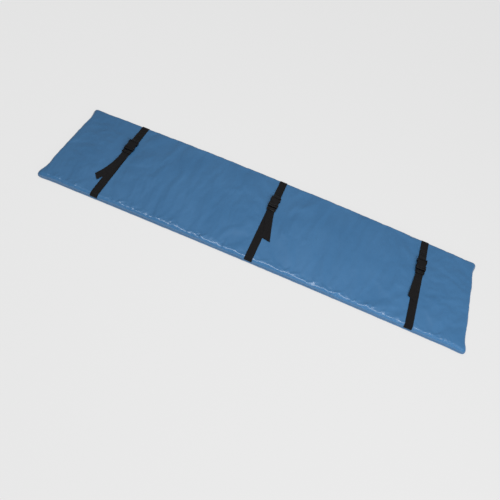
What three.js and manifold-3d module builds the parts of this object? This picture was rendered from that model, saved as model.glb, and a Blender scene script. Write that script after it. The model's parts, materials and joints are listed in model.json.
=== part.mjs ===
// Bed rail bumper: a long foam pad in a wipe-clean coated cover, with webbing straps across its
// back. Each strap is caught in the cover's seam along both long edges and closes with a
// side-release buckle. The rails of a bed or trolley pass between the pad and the straps.
//
// Frame, in millimetres: +X along the pad, +Y across it towards the straps' fixed ends, +Z up,
// out of the pad's back. The origin is the centre of the front face, which the pad rests on.

import * as THREE from "three";
import { mergeVertices } from "three/addons/utils/BufferGeometryUtils.js";
import Module from "manifold-3d";

const wasm = await Module();
wasm.setup();

// ---- Driving dimensions ----

// Space left between two pieces that touch.
const GAP = 0.3;

const PAD_LENGTH = 1370;
const PAD_WIDTH = 350;
const PAD_THICKNESS = 25;
const PAD_CORNER_RADIUS = 16;
const PAD_EDGE_RADIUS = 9;
const COVER_WALL = 0.8;

const WEBBING_WIDTH = 25;
const WEBBING_THICKNESS = 1.4;
// Distance from each end of the pad to the middle of the strap nearest to it, before all three
// straps are moved a little towards the +X end.
const STRAP_INSET = 180;
const STRAP_SHIFT = 5;
const STRAP_SPACING = PAD_LENGTH / 2 - STRAP_INSET;
// Length of webbing folded back and sewn under the strap at the socket.
const FOLD_BACK = 38;
// Lengths over which webbing steps up onto another layer, and up to a socket's bar.
const LAYER_STEP = 9;
const BAR_APPROACH = 14;
// How much longer one side of a tail is than the other, at the slanted cut of its end.
const TAIL_SLANT = 11;

// One entry for each strap: its place along the pad, how far its buckle is set back from the
// edge that the strap is fixed at, and the length and sideways lean, in degrees, of its tail.
const STRAPS = [
  { x: STRAP_SHIFT - STRAP_SPACING, setback: 113, tailLength: 138, tailLean: -10 },
  { x: STRAP_SHIFT, setback: 105, tailLength: 124, tailLean: 12 },
  { x: STRAP_SHIFT + STRAP_SPACING, setback: 112, tailLength: 104, tailLean: -6 },
];

// Side-release buckle. Lengths run along the strap.
const BUCKLE_BEVEL = 0.8;
const BUCKLE_CORNER = 2.5;
const BAR_HEIGHT = 3;
// Space in a slot beside the webbing, and what its length has beyond the webbing's thickness.
const SLOT_SIDE_CLEARANCE = 0.75;
const THREADING_ROOM = 3.2;
const SOCKET_LENGTH = 36;
const SOCKET_HEIGHT = 9.5;
const SOCKET_RAIL = 3;
const SOCKET_PLATE = 1.6;
const SOCKET_SIDE_WALL = 1;
const SOCKET_BACK_WALL = 5;
const SOCKET_BAR = 3.5;
// The finger windows in the socket's sides.
const WINDOW_START = 6.5;
const WINDOW_END_WALL = 1.5;
const WINDOW_DEPTH = 3;
const WINDOW_FLARE = 4;
const PLUG_BLOCK_LENGTH = 8;
// How far the plug's block is lower than the socket, and its frame narrower than the block.
const BLOCK_STEP = 0.7;
const FRAME_SETBACK = 1.3;
const MIDDLE_BAR = 3;
const END_BAR = 3.5;
const GUIDE_WIDTH = 7;
const GUIDE_HEIGHT = 3;
const GUIDE_END_CLEARANCE = 6.5;
const ARM_WIDTH = 3;
const ARM_INSET = 4;
const ARM_SIDE_CLEARANCE = 0.5;
const ARM_END_CLEARANCE = 1.2;
const ARM_EDGE = 0.4;
const PRESS_PAD_SLOPE = 3;

// ---- Dimensions that follow ----

const seamZ = PAD_THICKNESS / 2;
const halfWebbing = WEBBING_THICKNESS / 2;
const webbingReach = GAP + halfWebbing;
// Middle of a layer of webbing that lies on the pad, and of a second layer on top of it.
const firstLayerZ = PAD_THICKNESS + webbingReach;
const secondLayerZ = firstLayerZ + GAP + WEBBING_THICKNESS;

const slotHalfWidth = WEBBING_WIDTH / 2 + SLOT_SIDE_CLEARANCE;
const slotLength = WEBBING_THICKNESS + THREADING_ROOM;
const buckleHalfWidth = slotHalfWidth + SOCKET_RAIL;
const frameHalfWidth = buckleHalfWidth - FRAME_SETBACK;
const cavityHalfWidth = buckleHalfWidth - SOCKET_SIDE_WALL;
const armOffset = cavityHalfWidth - ARM_INSET;

const socketBottom = PAD_THICKNESS + GAP;
const socketTop = socketBottom + SOCKET_HEIGHT;
const socketMiddle = (socketBottom + socketTop) / 2;
const cavityBottom = socketBottom + SOCKET_PLATE;
const cavityTop = socketTop - SOCKET_PLATE;

// Places along the buckle, measured from the socket's mouth towards its bar.
const socketBarStart = SOCKET_LENGTH - SOCKET_BAR;
const socketSlotStart = socketBarStart - slotLength;
const cavityEnd = socketSlotStart - SOCKET_BACK_WALL;
const windowEnd = cavityEnd - WINDOW_END_WALL;
const armLength = cavityEnd - ARM_END_CLEARANCE;
// And behind the mouth, towards the plug's end bar.
const blockFront = -GAP;
const blockBack = blockFront - PLUG_BLOCK_LENGTH;
const middleBarStart = blockBack - slotLength;
const middleBarEnd = middleBarStart - MIDDLE_BAR;
const middleBarCentre = (middleBarStart + middleBarEnd) / 2;
const endBarStart = middleBarEnd - slotLength;
const plugEnd = endBarStart - END_BAR;
const buckleCentre = (SOCKET_LENGTH + plugEnd) / 2;

// One layer of webbing passes below the plug's middle bar, and two below its end bar.
const middleBarBottom = firstLayerZ + webbingReach;
const middleBarTop = middleBarBottom + BAR_HEIGHT;
const endBarBottom = secondLayerZ + webbingReach;
const endBarTop = endBarBottom + BAR_HEIGHT;

// ---- Solids ----

function solidOf(geometry) {
  const bare = geometry.index ? geometry.toNonIndexed() : geometry.clone();
  bare.deleteAttribute("normal");
  bare.deleteAttribute("uv");
  const merged = mergeVertices(bare, 1e-4);
  const mesh = new wasm.Mesh({
    numProp: 3,
    vertProperties: merged.attributes.position.array,
    triVerts: new Uint32Array(merged.index.array),
  });
  return new wasm.Manifold(mesh);
}

function geometryOf(solid) {
  const mesh = solid.getMesh();
  const geometry = new THREE.BufferGeometry();
  geometry.setAttribute("position", new THREE.BufferAttribute(mesh.vertProperties, 3));
  geometry.setIndex(new THREE.BufferAttribute(mesh.triVerts, 1));
  geometry.computeVertexNormals();
  return geometry;
}

// A box between two corners.
function box([x0, y0, z0], [x1, y1, z1]) {
  const geometry = new THREE.BoxGeometry(x1 - x0, y1 - y0, z1 - z0);
  geometry.translate((x0 + x1) / 2, (y0 + y1) / 2, (z0 + z1) / 2);
  return solidOf(geometry);
}

// A flat outline raised from one height to another, with its upper and lower rims rounded.
function plate(outline, bottom, top, rim, rimSteps = 2) {
  const geometry = new THREE.ExtrudeGeometry(outline, {
    depth: top - bottom - 2 * rim,
    bevelEnabled: rim > 0,
    bevelSize: rim,
    bevelThickness: rim,
    bevelOffset: -rim,
    bevelSegments: rimSteps,
    curveSegments: 6,
  });
  geometry.translate(0, 0, bottom + rim);
  return solidOf(geometry);
}

// A section drawn in the part's (y, z) plane, given a width along X and centred on it.
function acrossX(section, width) {
  const geometry = new THREE.ExtrudeGeometry(section, {
    depth: width,
    bevelEnabled: false,
    curveSegments: 6,
  });
  geometry.translate(0, 0, -width / 2);
  geometry.applyMatrix4(new THREE.Matrix4().set(0, 0, 1, 0, 1, 0, 0, 0, 0, 1, 0, 0, 0, 0, 0, 1));
  return solidOf(geometry);
}

function roundedRectangle(halfX, halfY, radius) {
  const outline = new THREE.Shape();
  outline.moveTo(halfX, -halfY + radius);
  outline.absarc(halfX - radius, halfY - radius, radius, 0, Math.PI / 2);
  outline.absarc(-halfX + radius, halfY - radius, radius, Math.PI / 2, Math.PI);
  outline.absarc(-halfX + radius, -halfY + radius, radius, Math.PI, 1.5 * Math.PI);
  outline.absarc(halfX - radius, -halfY + radius, radius, 1.5 * Math.PI, 2 * Math.PI);
  return outline;
}

// ---- The pad ----

// A slab with the pad's rounded corners and edges, its surface a given depth inside the cover's.
function padSlab(depth) {
  const outline = roundedRectangle(
    PAD_LENGTH / 2 - depth,
    PAD_WIDTH / 2 - depth,
    PAD_CORNER_RADIUS - depth,
  );
  return plate(outline, depth, PAD_THICKNESS - depth, PAD_EDGE_RADIUS - depth, 4);
}

// Openings in the cover's seam that the ends of every strap pass through.
function strapNotches() {
  const halfWidth = WEBBING_WIDTH / 2 + GAP;
  return STRAPS.map(({ x }) =>
    box(
      [x - halfWidth, -PAD_WIDTH, seamZ - webbingReach],
      [x + halfWidth, PAD_WIDTH, seamZ + webbingReach],
    ),
  );
}

// The part of the cover between two heights. Its halves meet at a seam round the pad's side.
function coverBetween(low, high) {
  const band = box([-PAD_LENGTH, -PAD_WIDTH, low], [PAD_LENGTH, PAD_WIDTH, high]);
  const shell = padSlab(0).subtract(padSlab(COVER_WALL)).intersect(band);
  return strapNotches().reduce((rest, notch) => rest.subtract(notch), shell);
}

const backCover = () => coverBetween(seamZ + GAP / 2, PAD_THICKNESS + GAP);
const frontCover = () => coverBetween(-GAP, seamZ - GAP / 2);
const foamCore = () => padSlab(COVER_WALL + GAP);

// ---- The webbing ----

// A band of webbing along a path that is its middle line in the (y, z) plane.
function webbing(path, divisions) {
  const line = path
    .getPoints(divisions)
    .filter((point, i, all) => i === 0 || point.distanceTo(all[i - 1]) > GAP / 10);
  const last = line.length - 1;
  const side = (sign) =>
    line.map((point, i) => {
      const into = point.clone().sub(line[Math.max(i - 1, 0)]).normalize();
      const onward = line[Math.min(i + 1, last)].clone().sub(point).normalize();
      const along = into.clone().add(onward).normalize();
      // Further out at a bend, so that the band keeps its thickness round it.
      const reach = (sign * halfWebbing) / along.dot(i === 0 ? onward : into);
      return new THREE.Vector2(point.x - along.y * reach, point.y + along.x * reach);
    });
  return acrossX(new THREE.Shape([...side(1), ...side(-1).reverse()]), WEBBING_WIDTH);
}

// Carries a path on to a new height in a smooth step, level at both ends.
function stepTo(path, y, z) {
  const from = path.currentPoint;
  const halfway = (from.x + y) / 2;
  path.bezierCurveTo(halfway, from.y, halfway, z, y, z);
}

// A path from inside the seam of the +Y edge, up the pad's side and round onto its back.
function pathFromSeam() {
  const sideY = PAD_WIDTH / 2;
  const roundY = sideY - PAD_EDGE_RADIUS;
  const roundZ = PAD_THICKNESS - PAD_EDGE_RADIUS;
  const path = new THREE.Path();
  path.moveTo(sideY - COVER_WALL, seamZ);
  path.lineTo(sideY, seamZ);
  path.absarc(sideY, seamZ + webbingReach, webbingReach, 1.5 * Math.PI, 2 * Math.PI);
  path.absarc(roundY, roundZ, PAD_EDGE_RADIUS + webbingReach, 0, Math.PI / 2);
  return path;
}

// The fixed end: from the seam to the socket's bar, round it and back, to where it is sewn.
function fixedStrap(mouthY) {
  const turnY = mouthY + socketBarStart + BAR_HEIGHT / 2;
  const turnRadius = BAR_HEIGHT / 2 + webbingReach;
  const foldEnd = turnY + FOLD_BACK;
  const path = pathFromSeam();
  path.lineTo(foldEnd + GAP + LAYER_STEP, firstLayerZ);
  stepTo(path, foldEnd + GAP, secondLayerZ);
  path.lineTo(turnY + SOCKET_BAR / 2 + BAR_APPROACH, secondLayerZ);
  stepTo(path, turnY + SOCKET_BAR / 2, socketMiddle + turnRadius);
  path.absarc(turnY, socketMiddle, turnRadius, Math.PI / 2, 1.5 * Math.PI);
  stepTo(path, turnY + LAYER_STEP, firstLayerZ);
  path.lineTo(foldEnd, firstLayerZ);
  return webbing(path, 8);
}

// The adjustable end: from the seam of the -Y edge to below the plug's middle bar.
function adjustableStrap(mouthY) {
  const path = pathFromSeam();
  path.lineTo(-(mouthY + middleBarCentre), firstLayerZ);
  return webbing(path, 8).mirror([0, 1, 0]);
}

// The webbing laced through the plug, drawn from the socket's mouth: up through the inner slot,
// over the middle bar, down through the outer slot and out below the end bar, where the tail
// goes on.
function barLoop() {
  const upY = middleBarStart + webbingReach + GAP;
  const downY = middleBarEnd - webbingReach - GAP;
  const overZ = middleBarTop + webbingReach;
  const path = new THREE.Path();
  path.moveTo(middleBarCentre + GAP, firstLayerZ);
  path.lineTo(upY - 1.5 * WEBBING_THICKNESS, firstLayerZ);
  path.quadraticCurveTo(upY, firstLayerZ, upY, (firstLayerZ + overZ) / 2);
  path.quadraticCurveTo(upY, overZ, middleBarCentre, overZ);
  path.quadraticCurveTo(downY, overZ, downY, (secondLayerZ + overZ) / 2);
  path.quadraticCurveTo(downY, secondLayerZ, endBarStart, secondLayerZ);
  path.lineTo(plugEnd, secondLayerZ);
  return webbing(path, 6);
}

// The loose tail, drawn from its root. It leans to one side, and its end is cut on a slant.
function looseTail(length, lean) {
  const rootHalf = WEBBING_WIDTH / 2 / Math.cos(lean);
  const endOf = (side, reach) =>
    new THREE.Vector2(side * rootHalf + reach * Math.sin(lean), -reach * Math.cos(lean));
  const outline = new THREE.Shape([
    new THREE.Vector2(rootHalf, 0),
    new THREE.Vector2(-rootHalf, 0),
    endOf(-1, length - TAIL_SLANT),
    endOf(1, length),
  ]);
  return plate(outline, -halfWebbing, halfWebbing, 0);
}

// ---- The buckle, drawn with its socket's mouth at y 0 ----

// A bar across a slot, with rounded edges, and sunk into the rails at both ends.
function slotBar(y0, y1, bottom) {
  const halfHeight = BAR_HEIGHT / 2;
  const section = roundedRectangle((y1 - y0) / 2, halfHeight, 0.7 * halfHeight);
  const width = 2 * slotHalfWidth + SOCKET_RAIL;
  return acrossX(section, width).translate([0, (y0 + y1) / 2, bottom + halfHeight]);
}

// Everything from one place to another along the buckle, between its rails.
function slotSpace(y0, y1) {
  return box([-slotHalfWidth, y0, 0], [slotHalfWidth, y1, 2 * socketTop]);
}

// The socket's outline is drawn in at both sides, where fingers reach the plug's arms.
function socketOutline() {
  const wide = buckleHalfWidth;
  const waist = wide - WINDOW_DEPTH;
  const side = new THREE.Path();
  side.moveTo(0, 0);
  side.lineTo(wide - BUCKLE_CORNER, 0);
  side.quadraticCurveTo(wide, 0, wide, BUCKLE_CORNER);
  side.lineTo(wide, WINDOW_START - BUCKLE_BEVEL);
  side.quadraticCurveTo(waist, WINDOW_START, waist, WINDOW_START + WINDOW_FLARE);
  side.lineTo(waist, windowEnd - WINDOW_FLARE);
  side.quadraticCurveTo(waist, windowEnd, wide, windowEnd + BUCKLE_BEVEL);
  side.lineTo(wide, SOCKET_LENGTH - BUCKLE_CORNER);
  side.quadraticCurveTo(wide, SOCKET_LENGTH, wide - BUCKLE_CORNER, SOCKET_LENGTH);
  side.lineTo(0, SOCKET_LENGTH);
  const right = side.getPoints(6);
  const left = right.slice(1, -1).map((point) => new THREE.Vector2(-point.x, point.y));
  return new THREE.Shape([...right, ...left.reverse()]);
}

function socket() {
  const cavity = box(
    [-cavityHalfWidth, -SOCKET_LENGTH, cavityBottom],
    [cavityHalfWidth, cavityEnd, cavityTop],
  );
  const bar = slotBar(socketBarStart, SOCKET_LENGTH, socketMiddle - BAR_HEIGHT / 2);
  return plate(socketOutline(), socketBottom, socketTop, BUCKLE_BEVEL)
    .subtract(cavity)
    .subtract(slotSpace(socketSlotStart, 2 * SOCKET_LENGTH))
    .add(bar);
}

// The plug: a block that closes the socket's mouth, a guide tongue ahead of it, and behind it
// two rails that hold the bars the webbing is laced round.
function plug() {
  const blockCentre = (blockFront + blockBack) / 2;
  const frameLength = blockCentre - plugEnd;
  const blockOutline = roundedRectangle(buckleHalfWidth, PLUG_BLOCK_LENGTH / 2, BUCKLE_CORNER);
  const frameOutline = roundedRectangle(frameHalfWidth, frameLength / 2, BUCKLE_CORNER);
  const block = plate(blockOutline, socketBottom, socketTop - BLOCK_STEP, BUCKLE_BEVEL);
  const frame = plate(frameOutline, middleBarBottom, endBarTop, BUCKLE_BEVEL);
  const guide = box(
    [-GUIDE_WIDTH / 2, blockCentre, socketMiddle - GUIDE_HEIGHT / 2],
    [GUIDE_WIDTH / 2, cavityEnd - GUIDE_END_CLEARANCE, socketMiddle + GUIDE_HEIGHT / 2],
  );
  return frame
    .translate([0, plugEnd + frameLength / 2, 0])
    .subtract(slotSpace(2 * plugEnd, blockCentre - BUCKLE_CORNER / 2))
    .add(slotBar(middleBarEnd, middleBarStart, middleBarBottom))
    .add(slotBar(plugEnd, endBarStart, endBarBottom))
    .add(block.translate([0, blockCentre, 0]))
    .add(guide);
}

// One springy arm of the plug, for the +X side, drawn from its root: a thin stalk, and a pad
// that shows in the socket's side window, where it is squeezed.
function plugArm() {
  const inner = -ARM_WIDTH / 2;
  const outer = ARM_WIDTH / 2;
  const padFace = cavityHalfWidth - GAP - armOffset;
  const padEnd = windowEnd - PRESS_PAD_SLOPE;
  const halfHeight = (cavityTop - cavityBottom) / 2 - ARM_SIDE_CLEARANCE;
  const outline = new THREE.Shape();
  outline.moveTo(outer, 0);
  outline.lineTo(outer, WINDOW_START - BUCKLE_BEVEL);
  outline.lineTo(padFace, WINDOW_START);
  outline.lineTo(padFace, padEnd);
  outline.quadraticCurveTo(outer, windowEnd, 0, armLength);
  outline.quadraticCurveTo(inner, armLength, inner, padEnd);
  outline.lineTo(inner, 0);
  return plate(outline, socketMiddle - halfHeight, socketMiddle + halfHeight, ARM_EDGE);
}

// ---- Materials ----

function finish(color, roughness) {
  return new THREE.MeshStandardMaterial({ color, roughness, metalness: 0 });
}

const blueCoatedFabric = finish(0x3f6f9f, 0.42);
const foam = finish(0xd9d2bd, 0.95);
const blackWebbing = finish(0x1b1a1c, 0.85);
const blackPlastic = finish(0x18181a, 0.45);

// ---- Assembly ----

const bumper = new THREE.Group();

function addPiece(name, solid, material, x = 0, y = 0, z = 0) {
  const piece = new THREE.Mesh(geometryOf(solid), material);
  piece.name = name;
  piece.position.set(x, y, z);
  bumper.add(piece);
}

function addStrap(n, { x, setback, tailLength, tailLean }) {
  const mouthY = PAD_WIDTH / 2 - setback - buckleCentre;
  const tailY = mouthY + plugEnd - webbingReach;
  const tail = looseTail(tailLength, THREE.MathUtils.degToRad(tailLean));
  const leftArm = plugArm().mirror([1, 0, 0]);
  addPiece(`strap_${n}_fixed_webbing`, fixedStrap(mouthY), blackWebbing, x);
  addPiece(`strap_${n}_adjustable_webbing`, adjustableStrap(mouthY), blackWebbing, x);
  addPiece(`strap_${n}_bar_loop`, barLoop(), blackWebbing, x, mouthY);
  addPiece(`strap_${n}_tail`, tail, blackWebbing, x, tailY, secondLayerZ);
  addPiece(`buckle_${n}_socket`, socket(), blackPlastic, x, mouthY);
  addPiece(`buckle_${n}_plug`, plug(), blackPlastic, x, mouthY);
  addPiece(`buckle_${n}_left_arm`, leftArm, blackPlastic, x - armOffset, mouthY);
  addPiece(`buckle_${n}_right_arm`, plugArm(), blackPlastic, x + armOffset, mouthY);
}

addPiece("foam_core", foamCore(), foam);
addPiece("front_cover", frontCover(), blueCoatedFabric);
addPiece("back_cover", backCover(), blueCoatedFabric);
STRAPS.forEach((strap, i) => addStrap(i + 1, strap));

export default bumper;
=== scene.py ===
"""Looks of a bed rail bumper: a foam pad in a blue coated cover, with three buckled webbing straps.

The pad's cover, foam and webbing are modelled here and stand in for the plain solids of the frame.
The buckles keep their solids and get moulded edges and a moulded plastic finish.
Lengths are in metres. MM turns a size in millimetres into one.
"""

import json
import math

import bpy
import numpy as np
from mathutils import Matrix, Vector


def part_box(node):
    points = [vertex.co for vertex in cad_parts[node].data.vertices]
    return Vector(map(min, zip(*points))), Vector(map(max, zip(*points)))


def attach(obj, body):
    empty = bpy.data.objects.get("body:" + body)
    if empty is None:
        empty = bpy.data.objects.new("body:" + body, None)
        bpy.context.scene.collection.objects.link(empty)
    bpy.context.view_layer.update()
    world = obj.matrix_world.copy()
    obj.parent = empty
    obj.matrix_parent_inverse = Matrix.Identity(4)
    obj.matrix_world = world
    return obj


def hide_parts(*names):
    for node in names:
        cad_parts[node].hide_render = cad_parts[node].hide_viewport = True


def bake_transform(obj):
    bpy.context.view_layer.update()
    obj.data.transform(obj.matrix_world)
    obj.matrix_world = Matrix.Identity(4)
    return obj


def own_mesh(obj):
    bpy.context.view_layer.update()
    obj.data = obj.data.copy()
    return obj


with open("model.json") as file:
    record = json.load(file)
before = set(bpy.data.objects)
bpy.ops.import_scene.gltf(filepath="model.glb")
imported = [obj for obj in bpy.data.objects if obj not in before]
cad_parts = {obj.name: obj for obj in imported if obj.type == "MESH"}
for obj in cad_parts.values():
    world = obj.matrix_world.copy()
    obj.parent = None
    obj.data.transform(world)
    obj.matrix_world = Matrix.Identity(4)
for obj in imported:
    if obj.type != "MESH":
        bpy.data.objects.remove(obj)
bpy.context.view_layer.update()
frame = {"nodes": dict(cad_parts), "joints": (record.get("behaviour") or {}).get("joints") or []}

MM = 0.001
SEED = 11
STRAPS = (1, 2, 3)

# ---- Sizes read from the frame ----

back_low, back_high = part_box("back_cover")
front_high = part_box("front_cover")[1]
HALF_LENGTH = back_high.x
HALF_WIDTH = back_high.y
PAD_TOP = back_high.z
SEAM_Z = (back_low.z + front_high.z) / 2
HALF_THICKNESS = PAD_TOP - SEAM_Z
strap_low, strap_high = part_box("strap_1_adjustable_webbing")
WEBBING_WIDTH = strap_high.x - strap_low.x
RELEASE_JOINT = next(j for j in frame["joints"] if j["name"] == "buckle_1_release")
RELEASE_TRAVEL = RELEASE_JOINT["range_m"][1]


def strap_x(n):
    """The middle of strap n along the pad."""
    low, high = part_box(f"strap_{n}_adjustable_webbing")
    return (low.x + high.x) / 2


# ---- Sizes of the soft pieces ----

# The cover: its edges, seam, corners and crown.
EDGE_RADIUS = 9.5 * MM
COVER_THICKNESS = 0.7 * MM
FOAM_INSET = 3.2 * MM
SEAM_GROOVE = 1.1 * MM
SEAM_GAP = 0.1 * MM
CORNER_EAR = 6.0 * MM
CORNER_CUT = 1.6 * MM
SIDE_PULL = 1.9 * MM
CROWN = 2.6 * MM
CREASE_HEIGHT = 0.26 * MM
SLOW_WAVE_HEIGHT = 0.14 * MM
# The pad lies in a slight bow towards +Y, and swells in width, most at the middle of its length.
BOW = 9.9 * MM
SWELL = 4.3 * MM
END_PULL = 1.2 * MM
# The cover lies low this far past the place that each plug and its tail slide in.
TRACK_MARGIN = 4 * MM
# The three longest folds: each one's middle along and across the pad, its direction in degrees,
# and its width, length and height.
LONG_FOLDS = ((570 * MM, -45 * MM, 77, 7 * MM, 70 * MM, 0.9 * MM),
              (140 * MM, -30 * MM, 67, 9 * MM, 85 * MM, 0.6 * MM),
              (-165 * MM, -60 * MM, 69, 8 * MM, 75 * MM, 0.6 * MM))

WEBBING_THICKNESS = 1.4 * MM
WEBBING_GAP = 0.15 * MM
# Heights of the middle of the webbing: the first layer over the pad, the loose second layer, and
# a second layer that is sewn to the first.
FIRST_LAYER = PAD_TOP + 1.0 * MM
SECOND_LAYER = PAD_TOP + 2.7 * MM
FOLDED_LAYER = SECOND_LAYER - 0.1 * MM
LAYER_REST = WEBBING_THICKNESS / 2 + WEBBING_GAP
# The socket's bar, and the length of webbing folded back round it.
BAR_HALF = 1.5 * MM
BAR_SETBACK = 3.5 * MM
FOLD_LENGTH = 38 * MM
STITCH_LENGTH = 2.2 * MM
STITCHES = 26
# How late each loose tail bends to the side, where 1 is a straight lean, how much longer it is
# than in the frame, and how many times further it leans. Its end is cut on a slant.
TAIL_CURL = {1: 2.2, 2: 1.1, 3: 1.1}
TAIL_EXTRA = {1: 2 * MM, 2: 0, 3: 5 * MM}
TAIL_LEAN = {1: 1.5, 2: 1, 3: 1}
TAIL_SLANT = 11 * MM
TAIL_WAVE = 1.6 * MM
TAIL_REST = PAD_TOP + LAYER_REST + 0.25 * MM


# ---- Meshes from points ----

def mesh_object(name, points, faces, material):
    """A smooth-shaded piece made of points and faces."""
    mesh = bpy.data.meshes.new(name)
    mesh.from_pydata([tuple(p) for p in points], [], [tuple(f) for f in faces])
    mesh.polygons.foreach_set("use_smooth", [True] * len(mesh.polygons))
    mesh.materials.append(material)
    piece = bpy.data.objects.new(name, mesh)
    bpy.context.scene.collection.objects.link(piece)
    return piece


def grid_faces(rows, columns, flip):
    """Four-sided faces of a grid whose points run along its rows."""
    corner = np.arange(rows * columns).reshape(rows, columns)[:-1, :-1].ravel()
    faces = np.stack([corner, corner + 1, corner + columns + 1, corner + columns], 1)
    return faces[:, ::-1] if flip else faces


def mesh_points(mesh):
    points = np.empty(len(mesh.vertices) * 3, np.float32)
    mesh.vertices.foreach_get("co", points)
    return points.reshape(-1, 3).astype(float)


def smoothstep(x):
    """0 up to 0, 1 from 1 on, and smooth between."""
    x = np.clip(x, 0, 1)
    return x * x * (3 - 2 * x)


def directions(line):
    """The direction of a line of points at each of them."""
    ahead = np.gradient(line, axis=0)
    ahead /= np.linalg.norm(ahead, axis=1, keepdims=True)
    return ahead


# ---- The pad's surface ----

def edge_profile(along, half, radius):
    """Where a panel's thread lies, from its distance along the cloth from the seam on one side.

    It gives the distance from the pad's middle, and the rise from the seam, as the cloth runs up
    the side, round the edge and across the pad."""
    wall = HALF_THICKNESS - radius
    turn = np.clip((along - wall) / radius, 0, math.pi / 2)
    inset = radius * (1 - np.cos(turn)) + np.maximum(along - wall - radius * math.pi / 2, 0)
    rise = np.minimum(along, wall) + radius * np.sin(turn)
    return half - inset, rise / HALF_THICKNESS


def panel_lines(half, radius, fine, coarse):
    """Distances from the nearer seam of the panel's grid lines, from one seam to the middle."""
    span = half + HALF_THICKNESS - 2 * radius + radius * math.pi / 2
    near_seam = np.array([0, 0.6, 1.3, 2.2]) * MM
    edge = np.arange(3.4 * MM, 34 * MM, fine)
    count = max(int((span - edge[-1]) / coarse), 2)
    return np.concatenate([near_seam, edge, np.linspace(edge[-1], span, count + 1)[1:]])


def both_ways(lines):
    """The grid lines of both halves: signs, and distances from each line's nearer seam."""
    sign = np.concatenate([-np.ones(len(lines)), np.ones(len(lines) - 1)])
    return sign, np.concatenate([lines, lines[-2::-1]])


def swollen(x, y):
    """The place across the pad of a point at y, once the pad is bowed and swollen."""
    belly = 1 - (x / HALF_LENGTH) ** 2
    return y + BOW * belly + (SWELL * belly - END_PULL) * y / HALF_WIDTH


class Waves:
    """Smooth random values over a plane, as a sum of cosines."""

    def __init__(self, rng, shortest, longest, count=14):
        length = shortest * (longest / shortest) ** rng.random(count)
        angle = rng.random(count) * 2 * math.pi
        self.kx = 2 * math.pi / length * np.cos(angle)
        self.ky = 2 * math.pi / length * np.sin(angle)
        self.phase = rng.random(count) * 2 * math.pi
        self.scale = math.sqrt(2 / count)

    def __call__(self, x, y):
        total = sum(np.cos(kx * x + ky * y + p) for kx, ky, p in zip(self.kx, self.ky, self.phase))
        return total * self.scale


def puckers(rng, t, depth, places, heights, widths, reaches, peaks=(9 * MM, 17 * MM)):
    """Separate gathers that run in from a sewn edge: t is along the seam, depth is in from it."""
    total = np.zeros_like(t)
    for place in places:
        height, width, reach = rng.uniform(*heights), rng.uniform(*widths), rng.uniform(*reaches)
        lean, peak = rng.uniform(-1.9, 1.9), rng.uniform(*peaks)
        across = (t - place - lean * (depth - peak)) / (width * (0.7 + depth / (45 * MM)))
        total += height * np.exp(-across ** 2 - ((depth - peak) / reach) ** 2)
    return total * smoothstep((depth - 2.5 * MM) / (8 * MM))


def turned(x, y, middle_x, middle_y, angle):
    """Distances along and across a line through a middle, at an angle to the pad's length."""
    along = (x - middle_x) * math.cos(angle) + (y - middle_y) * math.sin(angle)
    across = (y - middle_y) * math.cos(angle) - (x - middle_x) * math.sin(angle)
    return along, across


def creases(rng, x, y, count, widths, lengths, angles):
    """Shallow creases in a slight S, each with its own place, direction, width and length."""
    total = np.zeros_like(x)
    for _ in range(count):
        middle_x = (2 * rng.random() - 1) * HALF_LENGTH
        middle_y = (2 * rng.random() - 1) * HALF_WIDTH
        angle = math.radians(rng.uniform(*angles)) * rng.choice((-1, 1, 1, 1))
        width, length = rng.uniform(*widths), rng.uniform(*lengths)
        along, across = turned(x, y, middle_x, middle_y, angle)
        across = across + 0.12 * length * np.sin(along / length * 2.2)
        total += rng.uniform(0.5, 1) * np.exp(-((across / width) ** 2) - (along / length) ** 2)
    return total


def long_fold(x, y, middle_x, middle_y, degrees, width, length, height):
    """One long shallow ridge, with the place of its middle and its direction."""
    along, across = turned(x, y, middle_x, middle_y, math.radians(degrees))
    return height * np.exp(-((across / width) ** 2) - (along / length) ** 2)


def away_from_straps(x, reach):
    """0 under a strap, rising to 1 away from it."""
    held = np.zeros_like(x)
    for n in STRAPS:
        distance = np.maximum(np.abs(x - strap_x(n)) - WEBBING_WIDTH / 2, 0)
        held = np.maximum(held, np.exp(-((distance / reach) ** 2)))
    return 1 - held


def clear_of_buckles(x, y):
    """0 where a plug and its tail lie and slide, rising to 1 away from them."""
    clear = np.ones_like(x)
    for n in STRAPS:
        tail_low, tail_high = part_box(f"strap_{n}_tail")
        plug_low, plug_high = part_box(f"buckle_{n}_plug")
        left = min(tail_low.x, plug_low.x) - TRACK_MARGIN
        right = max(tail_high.x, plug_high.x) + TRACK_MARGIN
        foot = tail_low.y - RELEASE_TRAVEL - 3 * TRACK_MARGIN
        beside = np.maximum(np.maximum(left - x, x - right), 0)
        below = np.maximum(foot - y, 0)
        clear = np.minimum(clear, smoothstep(np.hypot(beside, below) / (20 * MM)))
    return clear


def relief_of_back(rng, x, y, in_x, in_y):
    """How far the cover's back stands out of its smooth shape: its crown, creases and gathers."""
    free = away_from_straps(x, 34 * MM)
    inside = smoothstep(np.minimum(in_x, in_y) / (25 * MM))
    crown = (1 - (np.abs(x) / HALF_LENGTH) ** 5) * (1 - (np.abs(y) / HALF_WIDTH) ** 2.5)
    relief = CROWN * crown * free
    small = creases(rng, x, y, 40, (7 * MM, 14 * MM), (40 * MM, 110 * MM), (50, 80))
    relief += CREASE_HEIGHT * small * (0.15 + 0.85 * free) * inside
    for fold in LONG_FOLDS:
        relief += long_fold(x, y, *fold) * free * inside
    relief += SLOW_WAVE_HEIGHT * Waves(rng, 70 * MM, 260 * MM)(x, y) * free
    return relief + gathers(rng, x, y, in_x, in_y, free)


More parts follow.
